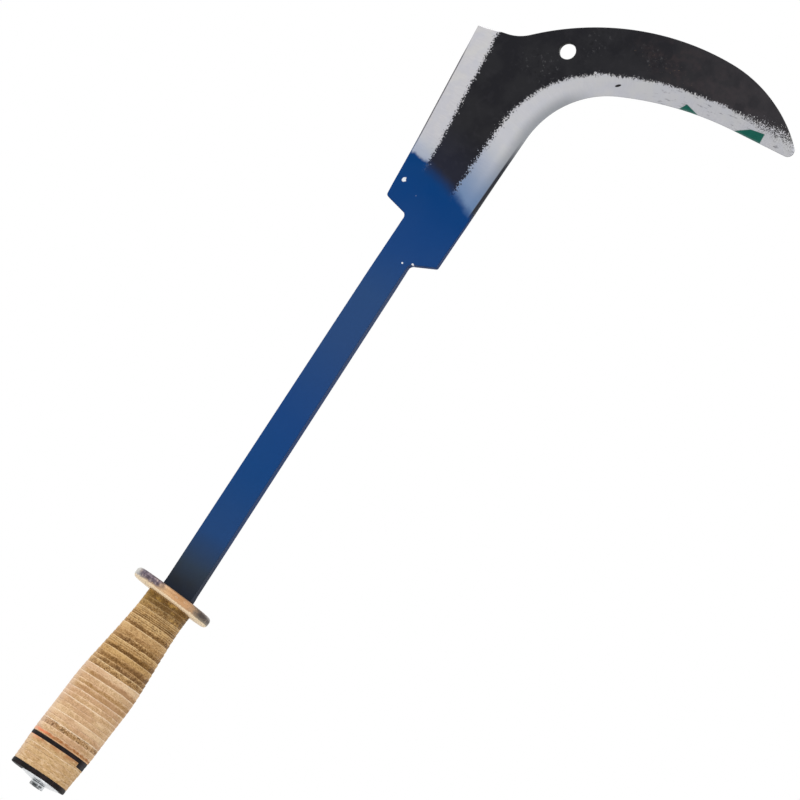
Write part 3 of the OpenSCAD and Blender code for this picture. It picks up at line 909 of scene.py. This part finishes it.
def bright_steel_finish():
    f = new_finish("bright_steel")
    p = f.place()
    x, y, z = f.parts(p)
    turned = off_thread(x, y)
    rings = f.grain(f.vector(turned * 3.0, z * 0.4, z * 0.4), 1.0, 3, 0.6)
    smear = f.grain(p, 0.4, 3)
    colour = f.mix(f.between(smear, 0.4, 0.65), tint(232, 234, 236), tint(206, 208, 210))
    colour = f.mix(f.between(turned, *PLATE_SHADE_R) * 0.5, colour, tint(150, 152, 154))
    relief = f.relief(rings, 0.04)
    return f.shade({"Base Color": colour, "Metallic": 1.0, "Roughness": 0.14 + rings * 0.18,
                    "Normal": relief})


def nut_steel_finish():
    """Steel of the nut and the thread, bright, with painted dark reflection on the nut's lower edge and
    painted shade round the thread.
    """
    f = new_finish("nut_steel")
    p = f.place()
    x, y, z = f.parts(p)
    turned = off_thread(x, y)
    smear = f.grain(p, 0.45, 3)
    fine = f.grain(p, 2.0, 3, 0.6)
    reach_out = turned + (fine - 0.5) * 0.5
    colour = f.mix(f.between(smear, 0.42, 0.6), tint(170, 174, 176), tint(214, 217, 219))
    # Painted dark reflection in blotches on the nut's lower edge
    below = f.between(z + nut_top + (fine - 0.5) * 1.2, *NUT_REFLECTION_Z)
    dark_reflection = below * f.between(smear + (fine - 0.5) * 0.8, 0.62, 0.46)
    colour = f.mix(dark_reflection * 0.9, colour, tint(46, 47, 49))
    # Painted shade: a dark ring in the recess between the thread and the nut's bore
    colour = f.mix(f.between(reach_out, *NUT_RECESS_SHADE_R), colour, tint(34, 34, 36))
    colour = f.mix(f.between(reach_out, *THREAD_TIP_R), colour, tint(200, 204, 206))
    relief = f.relief(fine, 0.05)
    return f.shade({"Base Color": colour, "Metallic": 1.0, "Roughness": 0.22 + fine * 0.2, "Normal": relief})


# Pieces

def make_piece(name, skin, finish, node, place, marks=None, sharp=None):
    """A mesh piece that stands for a node; marks are values at its points, for its finish."""
    points, faces = skin
    mesh = bpy.data.meshes.new(name)
    mesh.from_pydata([Vector(p) * MM for p in points], [], faces)
    for mark, values in (marks or {}).items():
        data = mesh.attributes.new(mark, "FLOAT", "POINT").data
        data.foreach_set("value", np.asarray(values, dtype=np.float32))
    outward = bmesh.new()
    outward.from_mesh(mesh)
    bmesh.ops.recalc_face_normals(outward, faces=outward.faces)
    outward.to_mesh(mesh)
    outward.free()
    mesh.shade_smooth()
    if sharp:
        mesh.set_sharp_from_angle(angle=math.radians(sharp))
    mesh.materials.append(finish)
    piece = bpy.data.objects.new(name, mesh)
    bpy.context.collection.objects.link(piece)
    piece.matrix_world = place
    even = piece.modifiers.new("even_shading", "WEIGHTED_NORMAL")
    even.keep_sharp = True
    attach(piece, "root")
    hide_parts(node)


def forging_points(outline):
    """Points of one face of the forging, and the lines that its mesh has to keep."""
    around = np.array([dir_of(360 * i / HOLE_STEPS) for i in range(HOLE_STEPS)])
    loops = [outline]
    loops += [inset(outline, gap) for gap in ROUND_RINGS]
    loops += [around * (HANG_HOLE_R + gap) for gap in (0,) + ROUND_RINGS + (HOLE_COLLAR,)]
    lines = []
    start = 0
    for loop in loops:
        n = len(loop)
        lines += [(start + i, start + (i + 1) % n) for i in range(n)]
        start += n

    loose = []
    for line, into, width in (front_edge(), back_edge()):
        for share in CREASE_ROWS:
            loose.append(line + into * (width * share)[:, None])
        for off in (-CREASE_SOFT, 0, CREASE_SOFT):
            loose.append(line + into * (width + off)[:, None])
    low = outline.min(axis=0)
    high = outline.max(axis=0)
    row_h = SKIN_STEP * math.sqrt(0.75)
    for j in range(int((high[1] - low[1]) / row_h) + 1):
        xs = np.arange(low[0] + (j % 2) * SKIN_STEP / 2, high[0], SKIN_STEP)
        loose.append(np.stack([xs, np.full(len(xs), low[1] + j * row_h)], axis=1))
    loose = np.concatenate(loose)
    loose = loose[inside(loose, outline)]
    clear = nearest(loose, np.concatenate([outline, outline[:1]]))[0] > ROUND_RINGS[-1] + SKIN_ROOM
    clear &= np.linalg.norm(loose, axis=1) > HANG_HOLE_R + HOLE_COLLAR + ROUND_RINGS[-1]
    return np.concatenate(loops + [loose[clear]]), lines


def flat_forging(outline):
    """One face of the forging, not yet shaped: its points in X and Z, and its triangles."""
    points, lines = forging_points(outline)
    found = delaunay_2d_cdt([Vector(p) for p in points], lines, [], 0, 1e-5)
    flat = np.array([tuple(v) for v in found[0]])
    triangles = np.array([t for t in found[2] if len(t) == 3])
    middle = flat[triangles].mean(axis=1)
    keep = inside(middle, outline) & (np.linalg.norm(middle, axis=1) > HANG_HOLE_R * 0.999)
    triangles = triangles[keep]
    used = np.unique(triangles)
    renumber = np.zeros(len(flat), dtype=int)
    renumber[used] = np.arange(len(used))
    return flat[used], renumber[triangles]


def forging():
    """Blade, ricasso and shank as one skin, with bevels, rounded edges, dents and grinding dabs."""
    outline = forging_outline()
    flat, triangles = flat_forging(outline)
    line, _, width = front_edge()
    front_gap, front_run = nearest(flat, line)
    front_w = np.interp(front_run, lengths(line), width)
    back_gap, back_run = nearest(flat, back_edge()[0])
    rim_gap = nearest(flat, np.concatenate([outline, outline[:1]]))[0]
    rim_gap = np.minimum(rim_gap, np.abs(np.linalg.norm(flat, axis=1) - HANG_HOLE_R))

    taper_top = FOOT_Z + FORGE_TAPER / 2
    z = flat[:, 1]
    half = np.interp(z, [taper_top - FORGE_TAPER, taper_top], [SHANK_THK / 2, BLADE_THK / 2])
    depth = (BLADE_THK - EDGE_THK) / 2
    front_cut = np.clip(1 - front_gap / front_w, 0, 1) * run_out(z, FRONT_FULL_Z)
    back_cut = np.clip(1 - back_gap / BACK_BEVEL_W, 0, 1) * run_out(z, BACK_FULL_Z)
    cut = np.maximum(front_cut, back_cut)
    half = half - depth * cut
    # The rounding of the edges fades out just above the guard
    soft = np.minimum(EDGE_ROUND, half * 0.6) * np.clip((z + GUARD_DROP - 2) / 3, 0.05, 1)
    off = np.clip(1 - rim_gap / soft, 0, 1)
    half = half - soft * (1 - np.sqrt(1 - off ** 2))

    count = len(flat)
    sides = []
    along_grind = np.stack([front_run + back_run, front_gap * 0.4], axis=1)
    for seed in FACE_SEEDS:
        dents = np.minimum(bumps(flat, DENT_SIZES[0], seed), 0)
        dents = dents + np.minimum(bumps(flat, DENT_SIZES[1], seed + 9), 0) * 0.4
        dabs = np.minimum(bumps(along_grind, DAB_SIZE, seed + 5), 0)
        sunk = np.where(cut > 0, GRIND_DAB * dabs, FORGE_DENT * dents) * np.clip(rim_gap / 2, 0, 1)
        sides.append(half + sunk)
    front_skin = np.stack([flat[:, 0], -sides[0], z], axis=1)
    back_skin = np.stack([flat[:, 0], sides[1], z], axis=1)
    faces = [tuple(t) for t in triangles] + [tuple(t[::-1] + count) for t in triangles]
    edges = []
    for a, b, c in triangles:
        edges += [(a, b), (b, c), (c, a)]
    shared = set(edges)
    faces += [(a, b, b + count, a + count) for a, b in edges if (b, a) not in shared]
    marks = {
        "front_line": front_w - front_gap,
        "front_gap": front_gap,
        "back_line": np.where(z > HEEL_Z, BACK_BEVEL_W - back_gap, OFF_BACK),
        "edge_run": np.where(back_gap < front_gap, back_run + BACK_RUN_START, front_run),
        "above_paint": z - paint_edge(flat[:, 0]),
        "side": (rim_gap < SIDE_GAP).astype(float),
    }
    marks = {key: np.concatenate([v, v]) for key, v in marks.items()}
    make_piece("blade_forging", (np.concatenate([front_skin, back_skin]), faces), forged_blade_finish(),
               "blade", Matrix(), marks)


# Grip pieces

def oval(w, d, square):
    """A rounded oval; the squarer it is, the fuller its corners."""
    points = []
    for a in AROUND:
        c = math.cos(a)
        s = math.sin(a)
        points.append((w / 2 * math.copysign(abs(c) ** (2 / square), c),
                       d / 2 * math.copysign(abs(s) ** (2 / square), s)))
    return points


def tube(rings):
    """A closed skin over rings of points, with the last ring joined to the first."""
    n = len(rings[0])
    points = [p for ring in rings for p in ring]
    faces = []
    for j in range(len(rings)):
        k = (j + 1) % len(rings)
        for i in range(n):
            h = (i + 1) % n
            faces.append((j * n + i, j * n + h, k * n + h, k * n + i))
    return points, faces


def rod(rings):
    """A closed skin over rings of points, with a flat face at both ends."""
    n = OVAL_STEPS
    points, faces = tube(rings)
    faces = faces[:-n]
    faces += [tuple(range(n)), tuple(range(len(points) - n, len(points)))]
    return points, faces


def seam_wave(j, a):
    """Waviness of the joint below washer j at an angle round its outline."""
    if j in (0, UPPER_WASHERS, WASHERS):
        return 0
    phase = math.radians(WASHER_TURN * j)
    return SEAM_WAVES[0] * math.sin(a + phase) + SEAM_WAVES[1] * math.sin(3 * a + 2 * phase)


def slot_ring(z, lean=LEAN):
    """The rim of the slot for the tang."""
    outline = oval(TANG_W + 2 * TANG_GAP, TANG_THK + 2 * TANG_GAP, SLOT_SQUARE)
    return [(x, y, z + lean * x) for x, y in outline]


def grip_rings(top, thk, at, rim):
    """Rings of a black washer: the grip's section at a depth, drawn in by the rim's gaps."""
    rings = []
    for share, gap in rim:
        outline = oval(grip_size(at, 0) - 2 * gap, grip_size(at, 1) - 2 * gap, GRIP_SQUARE)
        rings.append([(x, y, -top - share * thk + LEAN * x) for x, y in outline])
    return rings


def leather_washer(i, finish):
    """One washer: wavy joints, a wedge under the guard, and a notch for the lip below the spacer."""
    top = washer_top(i)
    thk = washer_thk(i)
    middle = top + thk / 2
    phase = math.radians(WASHER_TURN * i)
    w = grip_size(middle, 0) + WASHER_UNEVEN * math.sin(5 * phase)
    d = grip_size(middle, 1) + WASHER_UNEVEN * math.sin(7 * phase)
    front = grip_size(middle, 0) / 2 - SPACER_LIP - LIP_ROOM
    rows = [(share, gap, False) for share, gap in WASHER_RIM]
    if i == UPPER_WASHERS + 1:
        drop = LIP_DROP / thk
        rows = [(share, gap, True) for share, gap in WASHER_RIM if share < drop]
        rows += [(drop, 0, True), (drop, 0, False)]
        rows += [(share, gap, False) for share, gap in WASHER_RIM if share > drop]
    rings = []
    for share, gap, notched in rows:
        ring = []
        for a, (x, y) in zip(AROUND, oval(w - 2 * gap, d - 2 * gap, GRIP_SQUARE)):
            x = min(x, front) if notched else x
            x += grip_x(middle)
            wave = (1 - share) * seam_wave(i - 1, a) + share * seam_wave(i, a)
            lean = LEAN * share if i == 1 else LEAN
            ring.append((x, y, -top - share * thk + wave + lean * x))
        rings.append(ring)
    rings = [slot_ring(-top, 0 if i == 1 else LEAN)] + rings + [slot_ring(-top - thk)]
    marks = {key: np.full(len(rings) * OVAL_STEPS, value) for key, value in washer_tone(i).items()}
    marks["down"] = np.repeat([0] + [share for share, _, _ in rows] + [1], OVAL_STEPS)
    make_piece(f"grip_leather_{i:02d}", tube(rings), finish, f"leather_washer_{i:02d}",
               on_tang, marks, sharp=50)


def washer_tone(i):
    """How pale, dark and coarse one washer of the stack is, and how pale its upper joint."""
    swing = math.sin(math.radians(WASHER_TURN * i * 3))
    brown = i <= BROWN_WASHERS
    return {
        "number": i,
        "pale": 0.1 + 0.1 * swing if brown else 0.9 + 0.1 * swing,
        "dark": 0.9 if i in DARK_WASHERS else 0.1 if i in LIGHT_WASHERS else 0.45 + 0.12 * swing,
        "coarse": 1.0 if i in COARSE_WASHERS else 0.35 if brown else 0.12,
        "joint": 0.95 if i in PALE_JOINTS else 0.25,
        "layered": float(i in LAYERED_WASHERS),
        "dye_above": float(i == UPPER_WASHERS),
        "dye_below": float(i == UPPER_WASHERS + 1),
    }


def guard(finish):
    """The oval guard with rounded, slightly dented rims."""
    rings = [slot_ring(0, 0)]
    angles = [90 * j / GUARD_STEPS for j in range(GUARD_STEPS + 1)]
    size = GUARD_DENT_SIZE
    for side, face in ((1, 0.0), (-1, -GUARD_THK)):
        for a in angles if side > 0 else reversed(angles):
            gap = GUARD_RIM_R * (1 - math.sin(math.radians(a)))
            z = face - side * GUARD_RIM_R * (1 - math.cos(math.radians(a)))
            ring = []
            for x, y in oval(GUARD_W - 2 * gap, GUARD_D - 2 * gap, GUARD_SQUARE):
                dent = GUARD_DENT * min(0, noise.noise(Vector((x / size[0], y / size[1], z / size[2]))))
                grow = 1 + dent / math.hypot(x, y)
                ring.append((x * grow - GUARD_BACK, y * grow, z))
            rings.append(ring)
    rings.append(slot_ring(-GUARD_THK, 0))
    make_piece("oval_guard", tube(rings), finish, "guard", on_tang, sharp=50)


def fibre_spacer(finish):
    """The black spacer, with the lip at its front that is let into the washer below."""
    rings = [slot_ring(-spacer_top)]
    rings += grip_rings(spacer_top, SPACER_THK, spacer_top + SPACER_THK / 2, SPACER_RIM)
    rings.append(slot_ring(-spacer_top - SPACER_THK))
    points, faces = tube(rings)

    lip_top = spacer_top + SPACER_THK
    lip_middle = lip_top + washer_thk(UPPER_WASHERS + 1) / 2
    w = grip_size(lip_middle, 0)
    d = grip_size(lip_middle, 1)
    behind = w / 2 - SPACER_LIP
    rings = []
    for drop, gap in LIP_RIM:
        outline = oval(w - 2 * gap, d - 2 * gap, GRIP_SQUARE)
        room = max(abs(y) for x, y in outline if x > behind)
        ring = [(max(x, behind), min(room, max(-room, y))) for x, y in outline]
        rings.append([(x, y, -lip_top - drop + LEAN * x) for x, y in ring])
    lip_points, lip_faces = rod(rings)
    faces += [tuple(len(points) + i for i in face) for face in lip_faces]
    points += lip_points
    make_piece("black_spacer", (points, faces), finish, "fibre_spacer", on_tang, sharp=50)


def round_ring(r, z):
    """A circle about the thread."""
    return [(THREAD_SHIFT + r * math.cos(a), r * math.sin(a), z) for a in AROUND]


def butt_washer(finish):
    """The black washer that closes the stack, with a round hole for the thread."""
    hole = THREAD_D / 2 + HOLE_GAP
    turn = butt_lean(1)
    rings = [[tuple(turn @ Vector(p)) for p in round_ring(hole, -butt_top)]]
    rings += grip_rings(butt_top, BUTT_THK, plate_top, BUTT_RIM)
    rings.append([tuple(turn @ Vector(p)) for p in round_ring(hole, -plate_top)])
    make_piece("black_butt_washer", tube(rings), finish, "butt_washer", on_tang, sharp=50)


def end_plate(finish):
    """The bright dome under the nut."""
    rim = PLATE_D / 2
    hole = THREAD_D / 2 + HOLE_GAP
    dome_r = (rim ** 2 + PLATE_RISE ** 2) / (2 * PLATE_RISE)
    rings = [round_ring(hole, -plate_top)]
    rings += [round_ring(rim - gap, -plate_top - drop) for drop, gap in PLATE_EDGE]
    for j in range(1, DOME_STEPS + 1):
        r = rim + (hole - rim) * j / DOME_STEPS
        rise = math.sqrt(dome_r ** 2 - r ** 2) - (dome_r - PLATE_RISE)
        rings.append(round_ring(r, -plate_top - PLATE_RIM - rise))
    make_piece("domed_end_plate", tube(rings), finish, "end_plate", on_butt, sharp=40)


def hex_nut(finish):
    """The thin nut: flat towards the plate, chamfered at its free end."""
    end_r = NUT_FLATS / 2 / math.cos(math.radians(30)) - NUT_CHAMFER
    slope = math.tan(math.radians(CHAMFER_A))
    bore = THREAD_D / 2 + NUT_BORE_GAP
    low = -nut_top - NUT_H
    upper, lower = NUT_EDGES

    def hexagon(shrink, z_of):
        ring = []
        for a in AROUND:
            r = NUT_FLATS / 2 / math.cos(a % (math.pi / 3) - math.pi / 6)
            ring.append((THREAD_SHIFT + (r - shrink) * math.cos(a), (r - shrink) * math.sin(a), z_of(r)))
        return ring

    rings = [
        round_ring(bore, -nut_top),
        hexagon(upper, lambda r: -nut_top),
        hexagon(0, lambda r: -nut_top - upper),
        hexagon(0, lambda r: low + lower + max(0, r - end_r) * slope),
        hexagon(lower, lambda r: low + max(0, r - lower - end_r) * slope),
        round_ring(end_r - NUT_FACE, low),
        round_ring(bore + NUT_LEAD_IN, low),
        round_ring(bore, low + NUT_LEAD_IN),
    ]
    make_piece("thin_hex_nut", tube(rings), finish, "hex_nut", on_butt, sharp=25)


def tang(finish):
    """The flat tang inside the grip."""
    flat_end = butt_top - TANG_STOP
    rings = []
    for d, gap in ((TANG_SINK, 0.0), (flat_end - TANG_CHAMFER, 0.0), (flat_end, TANG_CHAMFER)):
        outline = oval(TANG_W - 2 * gap, TANG_THK - 2 * gap, SLOT_SQUARE)
        rings.append([(x, y, -d) for x, y in outline])
    make_piece("flat_tang", rod(rings), finish, "blade", on_tang, sharp=50)


def thread(finish):
    """The threaded end of the tang, square to the end plate."""
    first = butt_top - TANG_STOP - THREAD_ROOT
    lead, lead_depth = THREAD_LEAD
    rings = []
    for j in range(THREAD_ROWS + 1):
        d = first + (thread_end - first) * j / THREAD_ROWS
        ring = []
        for i, a in enumerate(AROUND):
            turn = (d / THREAD_PITCH + i / OVAL_STEPS) % 1
            r = THREAD_D / 2 - THREAD_DEPTH * abs(2 * turn - 1)
            r -= lead_depth * max(0, 1 - (thread_end - d) / lead)
            ring.append((THREAD_SHIFT + r * math.cos(a), r * math.sin(a), -d))
        rings.append(ring)
    make_piece("threaded_end", rod(rings), finish, "blade", on_butt, sharp=50)


# Camera, floor and light

def aim_camera():
    """A far camera, a little below the tool and to its hook side, rolled as the tool lies in the picture."""
    azimuth = math.radians(18)
    elevation = math.radians(-5.5)
    roll = math.radians(33.02)
    distance = 8.0
    span = 0.46
    target = Vector((29.6445, 0, -223.325)) * MM
    back = Vector((math.sin(azimuth) * math.cos(elevation), -math.cos(azimuth) * math.cos(elevation),
                   math.sin(elevation)))
    level = back.cross(Vector((0, 0, -1))).normalized()
    rise = back.cross(level)
    right = level * math.cos(roll) + rise * math.sin(roll)
    up = rise * math.cos(roll) - level * math.sin(roll)
    camera = bpy.data.objects.new("photo_camera", bpy.data.cameras.new("photo_camera"))
    bpy.context.collection.objects.link(camera)
    turn = Matrix((right, up, back)).transposed().to_4x4()
    camera.matrix_world = Matrix.Translation(target + back * distance) @ turn
    camera.data.sensor_fit = "HORIZONTAL"
    camera.data.angle = 2 * math.atan(span / 2 / distance)
    camera.data.clip_end = 80
    bpy.context.scene.camera = camera


def lay_floor():
    """A wide pale floor that fades out far from the tool."""
    mesh = bpy.data.meshes.new("studio_floor")
    corners = ((-1, -1), (1, -1), (1, 1), (-1, 1))
    mesh.from_pydata([(x * FLOOR_SIZE, y * FLOOR_SIZE, FLOOR_Z) for x, y in corners], [], [(0, 1, 2, 3)])
    f = new_finish("pale_floor")
    p = f.place()
    x, y, _ = f.parts(p)
    away = (x ** 2.0 + y ** 2.0) ** 0.5
    clouds = f.grain(p, 0.002, 2)
    mesh.materials.append(f.shade({"Base Color": f.mix(clouds, (0.86, 0.86, 0.86, 1), (0.9, 0.9, 0.9, 1)),
                                   "Alpha": f.between(away, 5000, 1500), "Roughness": 0.8}))
    floor = bpy.data.objects.new("studio_floor", mesh)
    bpy.context.collection.objects.link(floor)


def set_world():
    """A sky that is white to the camera and in reflections, and lights the tool at a lower level."""
    world = bpy.data.worlds.new("white_studio")
    bpy.context.scene.world = world
    w = Finish(world)
    rays = ("Is Camera Ray", "Is Glossy Ray", "Is Transmission Ray")
    seen = most(w.node("LightPath", {}, {}, out=ray) for ray in rays)
    level = SKY_LEVEL + seen * (1 - SKY_LEVEL)
    sky = w.node("Background", {}, {"Color": (1, 1, 1, 1), "Strength": level})
    w.node("OutputWorld", {}, {"Surface": sky})


def hang_lamp(name, place, power):
    data = bpy.data.lights.new(name, "AREA")
    data.size = SOFTBOX_SIZE
    data.energy = power
    lamp = bpy.data.objects.new(name, data)
    bpy.context.collection.objects.link(lamp)
    lamp.location = place
    to_tool = TOOL_MIDDLE - lamp.location
    lamp.rotation_euler = to_tool.to_track_quat("-Z", "Y").to_euler()


def set_light():
    hang_lamp("key_softbox", Vector((-2.1, -1.1, 2.3)), 80)
    hang_lamp("fill_softbox", Vector((1.6, -2.6, 0.2)), 34)
    hang_lamp("back_softbox", Vector((0.6, 2.8, 1.4)), 45)


aim_camera()
lay_floor()
set_world()
set_light()

forging()
nut_steel = nut_steel_finish()
tang(nut_steel)
thread(nut_steel)
guard(guard_mottle_and_painted_light_finish())
leather = leather_finish()
for number in range(1, WASHERS + 1):
    leather_washer(number, leather)
fibre = black_fibre_finish()
fibre_spacer(fibre)
butt_washer(fibre)
end_plate(bright_steel_finish())
hex_nut(nut_steel)

bpy.context.scene.view_settings.view_transform = "Standard"
